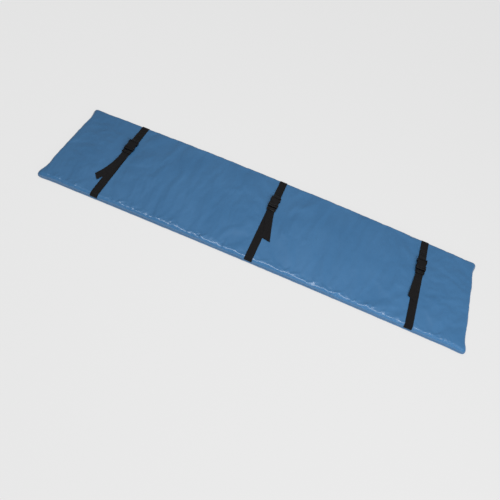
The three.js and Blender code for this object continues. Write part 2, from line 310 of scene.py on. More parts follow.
def gathers(rng, x, y, in_x, in_y, free):
    """The gathers along all four sides, the most and strongest along the -Y side."""
    total = np.zeros_like(x)
    reach_x, reach_y = HALF_LENGTH - 25 * MM, HALF_WIDTH - 22 * MM
    near_places = rng.uniform(-reach_x, reach_x, 150)
    far_places = rng.uniform(-reach_x, reach_x, 60)
    near = puckers(rng, x, in_y, near_places, (0.5 * MM, 1.4 * MM), (2.2 * MM, 4.6 * MM),
                   (5 * MM, 14 * MM), (11 * MM, 26 * MM))
    total += np.where(y < 0, near, 0)
    far = puckers(rng, x, in_y, far_places, (0.2 * MM, 0.6 * MM), (3.5 * MM, 9 * MM),
                  (7 * MM, 18 * MM))
    total += np.where(y > 0, far, 0)
    for side in (-1, 1):
        places = rng.uniform(-reach_y, reach_y, 16)
        end = puckers(rng, y, in_x, places, (0.2 * MM, 0.5 * MM), (6 * MM, 12 * MM),
                      (8 * MM, 22 * MM))
        total += np.where(x * side > 0, end, 0)
    return total * (0.2 + 0.8 * free)


def panel(name, material, upward, rng, lines_x, lines_y, depth=0.0, relief=None):
    """One panel, from the seam all round, over the edges and across the pad.

    Each of lines_x and lines_y is the grid's spacing near the seam and further in, and depth is
    how far the panel lies inside the cover."""
    radius = EDGE_RADIUS - depth
    sign_x, in_x = both_ways(panel_lines(HALF_LENGTH - depth, radius, *lines_x))
    sign_y, in_y = both_ways(panel_lines(HALF_WIDTH - depth, radius, *lines_y))
    out_x, rise_x = edge_profile(in_x, HALF_LENGTH - depth, radius)
    out_y, rise_y = edge_profile(in_y, HALF_WIDTH - depth, radius)
    along_x, along_y = np.meshgrid(in_x, in_y)
    x, y = np.meshgrid(sign_x * out_x, sign_y * out_y)
    side_x, side_y = np.meshgrid(sign_x, sign_y)
    x = x + side_x * stand_out(along_x, along_y, 1.0)
    y = y + side_y * stand_out(along_y, along_x, 0.35)
    direction = 1 if upward else -1
    rise = SEAM_GAP + np.outer(rise_y, rise_x) * (HALF_THICKNESS - depth - SEAM_GAP)
    points = np.stack([x, swollen(x, y), SEAM_Z + direction * rise], -1)
    if relief is not None:
        points += normals_of(points, direction) * relief(rng, x, y, along_x, along_y)[..., None]
    points[..., 2] = np.maximum(points[..., 2], 0)
    rows, columns = x.shape
    faces = grid_faces(rows, columns, not upward)
    return mesh_object(name, points.reshape(-1, 3), faces, material)


def stand_out(depth, corner, share):
    """How far a side stands out, at a depth in from its seam and a distance from the corner.

    Cloth left over at a corner stands out in an ear, the side next to it is drawn in, the corner
    itself is cut round, and the seam is pinched."""
    ear = CORNER_EAR * np.exp(-(((corner - 20 * MM) / (17 * MM)) ** 2) - depth / (16 * MM))
    drawn = np.exp(-(((corner - 60 * MM) / (24 * MM)) ** 2)) + 0.3 * smoothstep(corner / (90 * MM))
    drawn = SIDE_PULL * drawn * np.exp(-((depth / (20 * MM)) ** 2))
    cut = CORNER_CUT * np.exp(-(depth + corner) / (10 * MM))
    groove = SEAM_GROOVE * np.exp(-((depth / (1.5 * MM)) ** 2))
    return share * (ear - drawn) - cut - groove


def normals_of(points, direction):
    """Outward directions of a grid of points."""
    across = np.gradient(points, axis=1)
    down = np.gradient(points, axis=0)
    normal = np.cross(across, down) * direction
    return normal / np.maximum(np.linalg.norm(normal, axis=-1, keepdims=True), 1e-12)


def relief_of_front(rng, x, y, in_x, in_y):
    """The padded front lies flat on the floor, and only its edges are gathered."""
    edge = np.exp(-((np.minimum(in_x, in_y) / (22 * MM)) ** 2))
    return gathers(rng, x, y, in_x, in_y, np.ones_like(x)) * edge * 0.7


# ---- The cover's wrinkles, by cloth simulation ----

SETTLE_FRAMES = 24
SETTLE_SEED_HEIGHT = 0.12 * MM
# Cloth to spare, as shares of its size, and how far a point may rise.
LOOSEST = 0.06
LOOSE_ANYWHERE = 0.004
WRINKLE_CAP = 2.4 * MM


def panel_places(half, spacing):
    """Signed places of a panel's grid lines, measured along the cloth from its middle line."""
    lines = panel_lines(half, EDGE_RADIUS, *spacing)
    sign, inward = both_ways(lines)
    return sign * (lines[-1] - inward)


def settled_wrinkles(rng):
    """Lets a coarser copy of the back panel settle, with more cloth than its seams have room for.

    The seam and the places under the straps are held, and foam holds the rest lightly. The answer
    is the grid's places along and across the cloth, and how far each point rose."""
    lines_x, lines_y = (4.6 * MM, 4.6 * MM), (4.6 * MM, 8 * MM)
    sheet = panel("settling_cover", COATED_FABRIC, True, rng, lines_x, lines_y)
    places_x, places_y = panel_places(HALF_LENGTH, lines_x), panel_places(HALF_WIDTH, lines_y)
    shape = (len(places_y), len(places_x))
    start = mesh_points(sheet.data)
    grid = start.reshape(*shape, 3)
    outward = normals_of(grid, 1)
    in_x, in_y = places_x[-1] - np.abs(places_x), places_y[-1] - np.abs(places_y)
    along_x, along_y = np.meshgrid(in_x, in_y)
    seed = SETTLE_SEED_HEIGHT * Waves(rng, 12 * MM, 60 * MM, count=40)(grid[..., 0], grid[..., 1])
    seed *= smoothstep(np.minimum(along_x, along_y) / (8 * MM))
    moved = grid + outward * seed[..., None]
    sheet.data.vertices.foreach_set("co", moved.reshape(-1).astype(np.float32))
    held = hold_weights(grid[..., 0], along_x, along_y)
    loose = loose_weights(rng, grid, along_x, along_y)
    for name, weights in (("held", held), ("loose", loose)):
        group = sheet.vertex_groups.new(name=name)
        for i, weight in enumerate(weights.ravel()):
            group.add((i,), float(weight), "REPLACE")
    settle(sheet)
    rise = ((settled_points(sheet) - start).reshape(*shape, 3) * outward).sum(-1)
    bpy.data.meshes.remove(sheet.data)
    return places_x, places_y, np.clip(rise, -WRINKLE_CAP / 2, WRINKLE_CAP)


def hold_weights(x, along_x, along_y):
    """1 where the cloth is sewn or strapped down, and a little where foam lies behind it."""
    held = np.full_like(x, 0.035)
    sewn = np.minimum(along_x, along_y) < 3.5 * MM
    strapped = away_from_straps(x, 5 * MM) < 0.5
    held[sewn | strapped] = 1
    return held


def loose_weights(rng, grid, along_x, along_y):
    """How much cloth is to spare, from 0 to 1: most along the seams, above all the -Y one."""
    near = grid[..., 1] < 0
    side = np.where(near, 1.0, 0.5)
    patches = smoothstep(0.5 + 0.5 * Waves(rng, 120 * MM, 400 * MM)(grid[..., 0], grid[..., 1]))
    reach = np.where(near, 24 * MM, 16 * MM)
    seams = np.exp(-(((along_y - 8 * MM) / reach) ** 2)) * side
    ends = 0.12 * np.exp(-(((along_x - 12 * MM) / (18 * MM)) ** 2))
    return np.clip(np.maximum(seams, ends) * (0.5 + 0.5 * patches) + 0.05 * patches, 0, 1)


def settle(sheet):
    """Runs the cloth simulation: a thin, fairly stiff coated fabric, without gravity."""
    cloth = sheet.modifiers.new("settle", "CLOTH")
    values = cloth.settings
    values.quality = 6
    values.mass = 0.25
    values.tension_stiffness = values.compression_stiffness = 18
    values.shear_stiffness = 8
    values.bending_stiffness = 0.15
    values.air_damping = 2
    values.vertex_group_mass = "held"
    values.pin_stiffness = 1.0
    values.vertex_group_shrink = "loose"
    values.shrink_min = -LOOSE_ANYWHERE
    values.shrink_max = -LOOSEST
    values.effector_weights.gravity = 0
    cloth.collision_settings.use_collision = False
    scene = bpy.context.scene
    scene.frame_start, scene.frame_end = 1, SETTLE_FRAMES
    cloth.point_cache.frame_start, cloth.point_cache.frame_end = 1, SETTLE_FRAMES
    for step_number in range(1, SETTLE_FRAMES + 1):
        scene.frame_set(step_number)


def settled_points(sheet):
    """The sheet's points once it has settled. The scene is wound back to its first frame."""
    settled = sheet.evaluated_get(bpy.context.evaluated_depsgraph_get())
    points = mesh_points(settled.to_mesh())
    bpy.context.scene.frame_set(1)
    return points


def laid_on(wrinkles, places_x, places_y):
    """The settled rises, read off at the places of a finer grid."""
    coarse_x, coarse_y, rise = wrinkles
    rows = np.stack([np.interp(places_x, coarse_x, row) for row in rise])
    return np.stack([np.interp(places_y, coarse_y, column) for column in rows.T], 1)


# ---- Materials ----

DEEP_BLUE = (0.031, 0.117, 0.250)
PALE_BLUE = (0.037, 0.131, 0.274)
WEBBING_DARK = (0.0018, 0.0015, 0.0017)
WEBBING_PALE = (0.0062, 0.0054, 0.0058)
THREAD_DARK = (0.004, 0.004, 0.0045)
THREAD_PALE = (0.012, 0.012, 0.013)
PLASTIC_DARK = (0.0034, 0.0031, 0.0034)
PLASTIC_PALE = (0.0058, 0.0052, 0.0056)
FOAM_DARK = (0.5, 0.44, 0.3)
FOAM_PALE = (0.74, 0.68, 0.52)
FLOOR_GREY = (0.05, 0.05, 0.05)
FLOOR_GLOW = 0.745


class Nodes:
    """Short calls for adding and joining the nodes of one material or group."""

    def __init__(self, tree):
        self.tree = tree

    def add(self, kind, **values):
        node = self.tree.nodes.new(kind)
        for name, value in values.items():
            setattr(node, name, value)
        return node

    def join(self, source, target):
        self.tree.links.new(source, target)

    def math(self, operation, first, second=None):
        node = self.add("ShaderNodeMath", operation=operation)
        for socket, value in zip(node.inputs, (first, second)):
            if value is None:
                continue
            if isinstance(value, (int, float)):
                socket.default_value = value
            else:
                self.join(value, socket)
        return node.outputs[0]

    def noise(self, vector, scale, detail):
        node = self.add("ShaderNodeTexNoise")
        node.inputs["Scale"].default_value = scale
        node.inputs["Detail"].default_value = detail
        node.inputs["Roughness"].default_value = 0.55
        self.join(vector, node.inputs["Vector"])
        return node.outputs["Fac"]

    def map(self, value, from_low, from_high, to_low, to_high):
        node = self.add("ShaderNodeMapRange")
        for name, number in (("From Min", from_low), ("From Max", from_high),
                             ("To Min", to_low), ("To Max", to_high)):
            node.inputs[name].default_value = number
        self.join(value, node.inputs["Value"])
        return node.outputs["Result"]

    def mix(self, factor, dark, light):
        node = self.add("ShaderNodeMix", data_type="RGBA")
        node.inputs["A"].default_value = (*dark, 1)
        node.inputs["B"].default_value = (*light, 1)
        self.join(factor, node.inputs["Factor"])
        return node.outputs["Result"]

    def bump(self, height, distance, strength=1.0, normal=None):
        node = self.add("ShaderNodeBump")
        node.inputs["Distance"].default_value = distance
        node.inputs["Strength"].default_value = strength
        self.join(height, node.inputs["Height"])
        if normal is not None:
            self.join(normal, node.inputs["Normal"])
        return node.outputs["Normal"]


def woven_threads():
    """Node group: the height of plainly woven threads, from places across and along the cloth."""
    group = bpy.data.node_groups.new("woven_threads", "ShaderNodeTree")
    for name in ("Across", "Along", "Across pitch", "Along pitch"):
        group.interface.new_socket(name=name, in_out="INPUT", socket_type="NodeSocketFloat")
    group.interface.new_socket(name="Height", in_out="OUTPUT", socket_type="NodeSocketFloat")
    nodes = Nodes(group)
    inputs = nodes.add("NodeGroupInput").outputs
    output = nodes.add("NodeGroupOutput")
    column = nodes.math("DIVIDE", inputs["Across"], inputs["Across pitch"])
    row = nodes.math("DIVIDE", inputs["Along"], inputs["Along pitch"])
    odd = nodes.math("FLOORED_MODULO", nodes.math("FLOOR", column), 2.0)
    row = nodes.math("ADD", row, nodes.math("MULTIPLY", odd, 0.5))
    thread = nodes.math("ABSOLUTE", nodes.math("SINE", nodes.math("MULTIPLY", column, math.pi)))
    over = nodes.math("ABSOLUTE", nodes.math("SINE", nodes.math("MULTIPLY", row, math.pi)))
    thread = nodes.math("POWER", thread, 0.6)
    over = nodes.math("POWER", over, 0.45)
    nodes.join(nodes.math("MULTIPLY", thread, over), output.inputs["Height"])
    return group


def moulded_grain():
    """Node group: fine grain of a moulded or coated surface, and slow patches across it."""
    group = bpy.data.node_groups.new("moulded_grain", "ShaderNodeTree")
    group.interface.new_socket(name="Vector", in_out="INPUT", socket_type="NodeSocketVector")
    for name in ("Grain", "Patches"):
        group.interface.new_socket(name=name, in_out="OUTPUT", socket_type="NodeSocketFloat")
    nodes = Nodes(group)
    vector = nodes.add("NodeGroupInput").outputs["Vector"]
    output = nodes.add("NodeGroupOutput")
    nodes.join(nodes.noise(vector, 1400, detail=2), output.inputs["Grain"])
    nodes.join(nodes.noise(vector, 9, detail=4), output.inputs["Patches"])
    return group


WOVEN_THREADS = woven_threads()
MOULDED_GRAIN = moulded_grain()


def new_material(name, roughness, specular=0.5, coat=0.0, coat_roughness=0.1, sheen=0.0):
    """A material with its uniform values on the shader's own sockets."""
    material = bpy.data.materials.new(name)
    material.use_nodes = True
    nodes = Nodes(material.node_tree)
    shader = material.node_tree.nodes["Principled BSDF"]
    shader.inputs["Roughness"].default_value = roughness
    shader.inputs["Specular IOR Level"].default_value = specular
    shader.inputs["Coat Weight"].default_value = coat
    shader.inputs["Coat Roughness"].default_value = coat_roughness
    shader.inputs["Sheen Weight"].default_value = sheen
    shader.inputs["Sheen Roughness"].default_value = 0.5
    return material, nodes, shader


def grain_in(nodes, vector):
    """Places the grain group in a material: its grain and its patches."""
    group = nodes.add("ShaderNodeGroup", node_tree=MOULDED_GRAIN)
    nodes.join(vector, group.inputs["Vector"])
    return group.outputs["Grain"], group.outputs["Patches"]


def threads_in(nodes, across, along, across_pitch, along_pitch):
    """Places the weave group in a material: its height."""
    group = nodes.add("ShaderNodeGroup", node_tree=WOVEN_THREADS)
    nodes.join(across, group.inputs["Across"])
    nodes.join(along, group.inputs["Along"])
    group.inputs["Across pitch"].default_value = across_pitch
    group.inputs["Along pitch"].default_value = along_pitch
    return group.outputs["Height"]


def coated_fabric():
    """Blue wipe-clean fabric: a smooth soft coating, with its woven backing faintly showing."""
    material, nodes, shader = new_material("blue_coated_fabric", 0.42, specular=0.5, coat=0.5,
                                           coat_roughness=0.15)
    place = nodes.add("ShaderNodeTexCoord").outputs["Object"]
    grain, patches = grain_in(nodes, place)
    split = nodes.add("ShaderNodeSeparateXYZ")
    nodes.join(place, split.inputs["Vector"])
    weave = threads_in(nodes, split.outputs["X"], split.outputs["Y"], 0.62 * MM, 0.62 * MM)
    tone = nodes.map(patches, 0.3, 0.7, 0, 1)
    nodes.join(nodes.mix(tone, DEEP_BLUE, PALE_BLUE), shader.inputs["Base Color"])
    worn = nodes.map(patches, 0.3, 0.7, 0.36, 0.45)
    fine = nodes.map(grain, 0.3, 0.7, -0.03, 0.03)
    nodes.join(nodes.math("ADD", worn, fine), shader.inputs["Roughness"])
    normal = nodes.bump(weave, 0.03 * MM, 0.5)
    nodes.join(nodes.bump(grain, 0.05 * MM, 0.5, normal), shader.inputs["Normal"])
    return material


def webbing_material():
    """Black polypropylene webbing: thick threads along it, crossed by finer ones."""
    material, nodes, shader = new_material("black_webbing", 0.8, specular=0.2, sheen=0.03)
    across = nodes.add("ShaderNodeAttribute", attribute_name="across").outputs["Fac"]
    along = nodes.add("ShaderNodeAttribute", attribute_name="along").outputs["Fac"]
    weave = threads_in(nodes, across, along, 1.25 * MM, 2.1 * MM)
    place = nodes.add("ShaderNodeTexCoord").outputs["Object"]
    fuzz = nodes.noise(place, 2600, detail=2)
    tone = nodes.math("MULTIPLY", weave, nodes.map(fuzz, 0.3, 0.7, 0.6, 1.0))
    nodes.join(nodes.mix(tone, WEBBING_DARK, WEBBING_PALE), shader.inputs["Base Color"])
    nodes.join(nodes.map(weave, 0, 1, 0.85, 0.6), shader.inputs["Roughness"])
    normal = nodes.bump(weave, 0.32 * MM)
    nodes.join(nodes.bump(fuzz, 0.08 * MM, 0.6, normal), shader.inputs["Normal"])
    return material


def thread_material():
    """Black sewing thread, twisted."""
    material, nodes, shader = new_material("black_thread", 0.5, specular=0.25)
    place = nodes.add("ShaderNodeTexCoord").outputs["Object"]
    twist = nodes.add("ShaderNodeTexWave", bands_direction="DIAGONAL")
    twist.inputs["Scale"].default_value = 900
    nodes.join(place, twist.inputs["Vector"])
    tone = nodes.mix(twist.outputs["Fac"], THREAD_DARK, THREAD_PALE)
    nodes.join(tone, shader.inputs["Base Color"])
    nodes.join(nodes.bump(twist.outputs["Fac"], 0.1 * MM), shader.inputs["Normal"])
    return material


def moulded_plastic():
    """Black acetal: a fine spark-eroded texture, with a soft shine."""
    material, nodes, shader = new_material("black_moulded_plastic", 0.4, specular=0.3)
    place = nodes.add("ShaderNodeTexCoord").outputs["Object"]
    grain, patches = grain_in(nodes, place)
    nodes.join(nodes.mix(patches, PLASTIC_DARK, PLASTIC_PALE), shader.inputs["Base Color"])
    worn = nodes.map(patches, 0.3, 0.7, 0.3, 0.42)
    fine = nodes.map(grain, 0.3, 0.7, -0.05, 0.05)
    nodes.join(nodes.math("ADD", worn, fine), shader.inputs["Roughness"])
    nodes.join(nodes.bump(grain, 0.06 * MM, 0.5), shader.inputs["Normal"])
    return material


def foam_material():
    """Cream foam, open-celled."""
    material, nodes, shader = new_material("cream_foam", 0.95, specular=0.2)
    place = nodes.add("ShaderNodeTexCoord").outputs["Object"]
    cells = nodes.add("ShaderNodeTexVoronoi")
    cells.inputs["Scale"].default_value = 900
    nodes.join(place, cells.inputs["Vector"])
    tone = nodes.mix(cells.outputs["Distance"], FOAM_DARK, FOAM_PALE)
    nodes.join(tone, shader.inputs["Base Color"])
    nodes.join(nodes.bump(cells.outputs["Distance"], 0.5 * MM), shader.inputs["Normal"])
    return material


def floor_material():
    """A pale floor, bright enough by itself to show almost no shadow."""
    material, _, shader = new_material("pale_floor", 0.9, specular=0.0)
    shader.inputs["Base Color"].default_value = (*FLOOR_GREY, 1)
    shader.inputs["Emission Color"].default_value = (1, 1, 1, 1)
    shader.inputs["Emission Strength"].default_value = FLOOR_GLOW
    return material


COATED_FABRIC = coated_fabric()
WEBBING = webbing_material()
THREAD = thread_material()
PLASTIC = moulded_plastic()
FOAM = foam_material()


# ---- The pad ----

def thicken(piece):
    """Gives a cover panel its thickness, inwards."""
    shell = piece.modifiers.new("cloth_thickness", "SOLIDIFY")
    shell.thickness = COVER_THICKNESS
    shell.offset = -1
    shell.use_rim = True


def back_relief(wrinkles, rng, x, y, in_x, in_y):
    """The back's whole relief, which never stands in the way of a plug or tail."""
    relief = relief_of_back(rng, x, y, in_x, in_y) + wrinkles
    return np.where(relief > 0, relief * clear_of_buckles(x, y), relief)


def make_pad():
    """The cover's two panels, wrinkled, and the foam between them."""
    rng = np.random.default_rng(SEED)
    lines_x, lines_y = (3 * MM, 3 * MM), (2.6 * MM, 5.5 * MM)
    places = panel_places(HALF_LENGTH, lines_x), panel_places(HALF_WIDTH, lines_y)
    wrinkles = laid_on(settled_wrinkles(np.random.default_rng(SEED)), *places)
    back = panel("cover_back_panel", COATED_FABRIC, True, rng, lines_x, lines_y,
                 relief=lambda *where: back_relief(wrinkles, *where))
    front = panel("cover_front_panel", COATED_FABRIC, False, rng, (3.4 * MM, 6 * MM),
                  (3.4 * MM, 10 * MM), relief=relief_of_front)
    for piece, node in ((back, "back_cover"), (front, "front_cover")):
        thicken(piece)
        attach(piece, "pad")
        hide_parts(node)
    make_foam(rng)


def make_foam(rng):
    """The foam slab: two halves like the cover's panels, joined at the seam's height."""
    lines = (6 * MM, 40 * MM)
    halves = [panel(f"foam_{word}", FOAM, upward, rng, lines, lines, depth=FOAM_INSET)
              for word, upward in (("upper", True), ("lower", False))]
    bpy.ops.object.select_all(action="DESELECT")
    for half in halves:
        half.select_set(True)
    bpy.context.view_layer.objects.active = halves[0]
    bpy.ops.object.join()
    foam = halves[0]
    foam.name = "foam_slab"
    weld = foam.modifiers.new("joined_halves", "WELD")
    weld.merge_threshold = 0.05 * MM
    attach(foam, "pad")
    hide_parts("foam_core")


# ---- Webbing ----

def resampled(points, spacing):
    """Points evenly spaced along a line, and their distances along it."""
    points = np.asarray(points, float)
    steps = np.linalg.norm(np.diff(points, axis=0), axis=1)
    keep = np.concatenate([[True], steps > 1e-6])
    points = points[keep]
    along = np.concatenate([[0], np.cumsum(np.linalg.norm(np.diff(points, axis=0), axis=1))])
    at = np.linspace(0, along[-1], max(int(along[-1] / spacing), 2) + 1)
    return np.stack([np.interp(at, along, points[:, k]) for k in range(points.shape[1])], 1), at


def smoothed(points, rounds):
    """A line of points with its corners eased, and its ends kept."""
    points = points.copy()
    for _ in range(rounds):
        points[1:-1] = 0.25 * points[:-2] + 0.5 * points[1:-1] + 0.25 * points[2:]
    return points


def band_section():
    """The webbing's section: a place across it from -1 to 1, and a height from -1 to 1.

    Its sides are rounded, and shallow ribs run along its two faces."""
    across = np.linspace(-1, 1, 31)
    into_edge = np.maximum((np.abs(across) - 0.965) / 0.035, 0)
    edge = np.sqrt(np.clip(1 - into_edge ** 2, 0, 1))
    height = edge * (1 - 0.14 * (0.5 + 0.5 * np.cos(across * 10 * math.pi)))
    upper = np.stack([across, height], 1)
    lower = np.stack([across[-2:0:-1], -height[-2:0:-1]], 1)
    return np.concatenate([upper, lower])


def band(name, spine, across, up, along, slant=0.0):
    """Webbing along a spine. across and up are its directions there, along is the distance along
    it, and slant is how much longer its +across side is than the other at the far end."""
    section = band_section()
    half = WEBBING_WIDTH / 2
    count, ring = len(spine), len(section)
    forward = directions(spine)
    share = (np.arange(count) / (count - 1))[:, None]
    shift = smoothstep((share - 0.8) / 0.2) * slant * (section[:, 0][None] - 1) / 2
    points = (spine[:, None] + across[:, None] * section[None, :, :1] * half
              + up[:, None] * section[None, :, 1:] * WEBBING_THICKNESS / 2
              + forward[:, None] * shift[..., None])
    start = np.arange(ring)
    faces = []
    for k in range(count - 1):
        a = start + k * ring
        b = np.roll(start, -1) + k * ring
        faces.extend(np.stack([a, b, b + ring, a + ring], 1)[:, ::-1].tolist())
    faces.append(start.tolist())
    faces.append((start[::-1] + (count - 1) * ring).tolist())
    piece = mesh_object(name, points.reshape(-1, 3), faces, WEBBING)
    for label, values in (("across", np.tile(section[:, 0] * half, count)),
                          ("along", np.repeat(along, ring))):
        attribute = piece.data.attributes.new(label, "FLOAT", "POINT")
        attribute.data.foreach_set("value", values.astype(np.float32))
    sharpen_ends(piece, ring, count)
    return piece


def sharpen_ends(piece, ring, count):
    """The cut ends are flat, so their rims are sharp."""
    last = (count - 1) * ring
    sharp = [all(v < ring for v in e.vertices) or all(v >= last for v in e.vertices)
             for e in piece.data.edges]
    attribute = piece.data.attributes.get("sharp_edge")
    if attribute is None:
        attribute = piece.data.attributes.new("sharp_edge", "BOOLEAN", "EDGE")
    attribute.data.foreach_set("value", sharp)


def arc(centre, radius, start, end, count):
    """Points on an arc between two angles in degrees."""
    angles = np.radians(np.linspace(start, end, count))
    return [(centre[0] + radius * math.cos(a), centre[1] + radius * math.sin(a)) for a in angles]


def step(start, end):
    """A smooth step from one height to another, level at both ends."""
    width, rise = end[0] - start[0], end[1] - start[1]
    return [(start[0] + width * share, start[1] + rise * float(smoothstep(share)))
            for share in np.linspace(0, 1, 12)]


def from_seam(n, side):
    """The webbing's way out of the seam of one side, up the side and onto the pad's back."""
    edge = side * swollen(strap_x(n), side * HALF_WIDTH)
    wall = edge - 0.1 * SIDE_PULL
    bend = LAYER_REST
    centre = (edge - EDGE_RADIUS, PAD_TOP - EDGE_RADIUS)
    points = [(wall - SEAM_GROOVE - 1.5 * MM, SEAM_Z)]
    points += arc((wall - SEAM_GROOVE, SEAM_Z + bend), bend, -90, -20, 6)
    points += [(wall + bend, SEAM_Z + 3.4 * MM)]
    points += arc(centre, EDGE_RADIUS + bend + 0.1 * MM, 12, 90, 14)
    return [(side * y, z) for y, z in points]


def flat_band(name, n, profile):
    """A band of strap n whose spine lies in the (y, z) plane of the strap."""
    line, along = resampled(profile, 2.4 * MM)
    line = smoothed(line, 2)
    tangent = directions(line)
    spine = np.stack([np.full(len(line), strap_x(n)), line[:, 0], line[:, 1]], 1)
    across = np.tile([1.0, 0, 0], (len(line), 1))
    up = np.stack([np.zeros(len(line)), -tangent[:, 1], tangent[:, 0]], 1)
    return band(name, spine, across, up, along)


def make_fixed_webbing(n):
    """Webbing from the +Y seam to the socket's bar, round it and back underneath, and sewn down."""
    socket_low, socket_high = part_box(f"buckle_{n}_socket")
    turn_y = socket_high.y - BAR_SETBACK + BAR_HALF
    middle = (socket_low.z + socket_high.z) / 2
    radius = BAR_HALF + WEBBING_THICKNESS / 2 + 0.3 * MM
    fold_end = turn_y + FOLD_LENGTH
    profile = from_seam(n, 1)
    profile += [(fold_end + 10 * MM, FIRST_LAYER)]
    profile += step((fold_end + 9 * MM, FIRST_LAYER), (fold_end, FOLDED_LAYER))
    profile += [(turn_y + 16 * MM, FOLDED_LAYER)]
    profile += step((turn_y + 15.5 * MM, FOLDED_LAYER), (turn_y + 1.75 * MM, middle + radius))
    profile += arc((turn_y, middle), radius, 90, 270, 16)
    profile += step((turn_y + 0.5 * MM, middle - radius), (turn_y + 9 * MM, FIRST_LAYER))
    profile += [(fold_end, FIRST_LAYER)]
    piece = flat_band(f"webbing_{n}_fixed", n, profile)
    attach(piece, "pad")
    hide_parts(f"strap_{n}_fixed_webbing")
    make_bar_tacks(n, turn_y, fold_end)


def make_bar_tacks(n, turn_y, fold_end):
    """Rows of close stitches through both layers, near the socket and near the fold's end."""
    points, faces = [], []
    height = FOLDED_LAYER + WEBBING_THICKNESS / 2
    half = STITCH_LENGTH / 2
    for y in (turn_y + 19 * MM, turn_y + 22 * MM, fold_end - 7 * MM, fold_end - 4 * MM):
        for k in range(STITCHES):
            x = strap_x(n) + (2 * k + 1 - STITCHES) / STITCHES * (WEBBING_WIDTH / 2 - 1.6 * MM)
            lean = 0.35 * MM * (1 if k % 2 else -1)
            start, end = (x, y - half, height), (x + lean, y + half, height)
            add_stitch(points, faces, start, end, 0.32 * MM)
    tacks = mesh_object(f"bar_tacks_{n}", points, faces, THREAD)
    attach(tacks, "pad")


def add_stitch(points, faces, start, end, radius):
    """A short arched thread from one needle hole to another."""
    start, end = Vector(start), Vector(end)
    forward = (end - start).normalized()
    side = forward.cross(Vector((0, 0, 1)))
    base = len(points)
    stations = ((0, -0.6), (0.12, 0.1), (0.5, 0.45), (0.88, 0.1), (1, -0.6))
    for share, lift in stations:
        centre = start.lerp(end, share) + Vector((0, 0, lift * radius))
        for k in range(6):
            a = math.radians(60 * k)
            points.append(centre + radius * (side * math.cos(a) + Vector((0, 0, 1)) * math.sin(a)))
    for s in range(len(stations) - 1):
        for k in range(6):
            a, b = base + s * 6 + k, base + s * 6 + (k + 1) % 6
            faces.append((a, b, b + 6, a + 6))
    faces.append(tuple(base + k for k in reversed(range(6))))
    last = base + (len(stations) - 1) * 6
    faces.append(tuple(last + k for k in range(6)))


def plug_places(n):
    """Places along the plug of buckle n: its end and the middles of its two bars and slots."""
    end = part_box(f"buckle_{n}_plug")[0].y
    return {"end": end, "end_bar": end + 1.75 * MM, "outer_slot": end + 5.8 * MM,
            "middle_bar": end + 9.6 * MM, "inner_slot": end + 13.4 * MM}


def make_adjustable_webbing(n):
    """Webbing from the -Y seam to the plug."""
    place = plug_places(n)
    profile = from_seam(n, -1)
    profile += [(-HALF_WIDTH + 30 * MM, PAD_TOP + LAYER_REST + 0.1 * MM)]
    profile += [(place["end"] - 30 * MM, FIRST_LAYER), (place["middle_bar"], FIRST_LAYER)]
    piece = flat_band(f"webbing_{n}_adjustable", n, profile[::-1])
    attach(piece, "pad")
    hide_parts(f"strap_{n}_adjustable_webbing")
    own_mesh(piece)


def tail_facts(n):
    """How far to the side the end of the tail of strap n leans, and the tail's length."""
    low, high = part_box(f"strap_{n}_tail")
    spread = (high.x - low.x) - WEBBING_WIDTH
    middle = (low.x + high.x) / 2 - strap_x(n)
    return math.copysign(spread, middle) * TAIL_LEAN[n], high.y - low.y + TAIL_EXTRA[n]


def laced_profile(n, root):
    """The (y, z) way of the webbing from under the plug's middle bar, up through the inner slot,
    over the bar, down through the outer slot and out over the plug's end."""
    place = plug_places(n)
    inner, outer = place["inner_slot"], place["outer_slot"]
    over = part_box(f"strap_{n}_bar_loop")[1].z - WEBBING_THICKNESS / 2
    profile = [(place["middle_bar"] + 0.4 * MM, FIRST_LAYER), (inner - 2.2 * MM, FIRST_LAYER)]
    profile += arc((inner - 2.4 * MM, FIRST_LAYER + 1.9 * MM), 1.9 * MM, -80, 0, 8)
    profile += [(inner - 0.4 * MM, over - 1.6 * MM)]
    profile += arc((inner - 2.1 * MM, over - 1.7 * MM), 1.7 * MM, 10, 90, 8)
    profile += arc((outer + 2.3 * MM, over - 1.8 * MM), 1.8 * MM, 90, 170, 8)
    profile += [(outer + 0.4 * MM, SECOND_LAYER + 1.5 * MM)]
    profile += arc((outer - 1.2 * MM, SECOND_LAYER + 1.6 * MM), 1.6 * MM, -10, -90, 8)
    return profile + [(place["end"], SECOND_LAYER), (root, SECOND_LAYER)]


def tail_profile(n, root, lean, reach):
    """The (y, z) way of the loose tail, with a few waves. One that leans well clear of the webbing
    below it sinks onto the pad."""
    share = np.linspace(0, 1, 60)[1:]
    sinks = abs(lean) > WEBBING_WIDTH * 0.8
    sink = (TAIL_REST - SECOND_LAYER) * smoothstep((share - 0.25) / 0.5) * sinks
    wave = TAIL_WAVE * np.sin(share * math.pi) ** 2 * np.sin(share * 7.0 + n)
    return np.stack([root - share * reach, SECOND_LAYER + sink + np.maximum(wave, 0)], 1)


